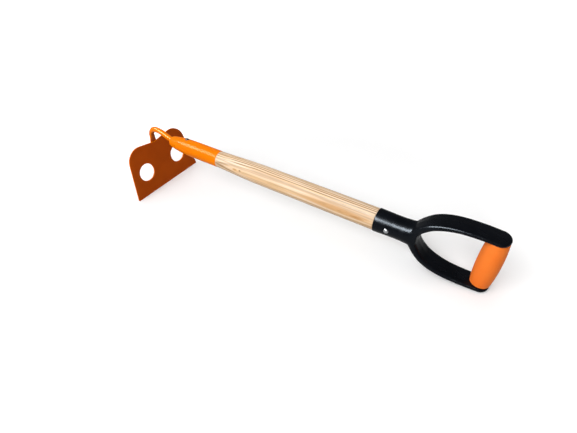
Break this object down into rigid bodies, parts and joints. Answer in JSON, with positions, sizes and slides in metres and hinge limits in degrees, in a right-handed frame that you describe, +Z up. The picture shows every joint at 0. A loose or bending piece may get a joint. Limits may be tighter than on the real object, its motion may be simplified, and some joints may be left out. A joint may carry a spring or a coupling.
{
  "type": "cement hoe",
  "caption": "Short cement hoe: a holed orange blade on a swan neck, an ash shaft and a black D-handle with an orange grip.",
  "frame": {"origin": "centre of the footprint on the floor, under the hoe as it stands on its blade edge and D-handle", "axes": "+X along the shaft from the blade to the D-handle, +Y across the blade, +Z up"},
  "size_m": [0.6994, 0.1766, 0.1335],
  "materials": {
    "orange_paint": "gloss",
    "ash_wood": "varnished",
    "black_plastic": "gloss",
    "orange_grip": "satin",
    "bright_steel": "satin"
  },
  "bodies": {
    "root": {"blade": "orange_paint", "neck": "orange_paint", "weld_left": "orange_paint", "weld_right": "orange_paint", "socket": "orange_paint", "socket_nose_weld": "orange_paint", "socket_rivet": "bright_steel", "shaft": "ash_wood", "handle_yoke": "black_plastic", "grip_sleeve": "orange_grip", "handle_rivet": "bright_steel"}
  },
  "joints": []
}
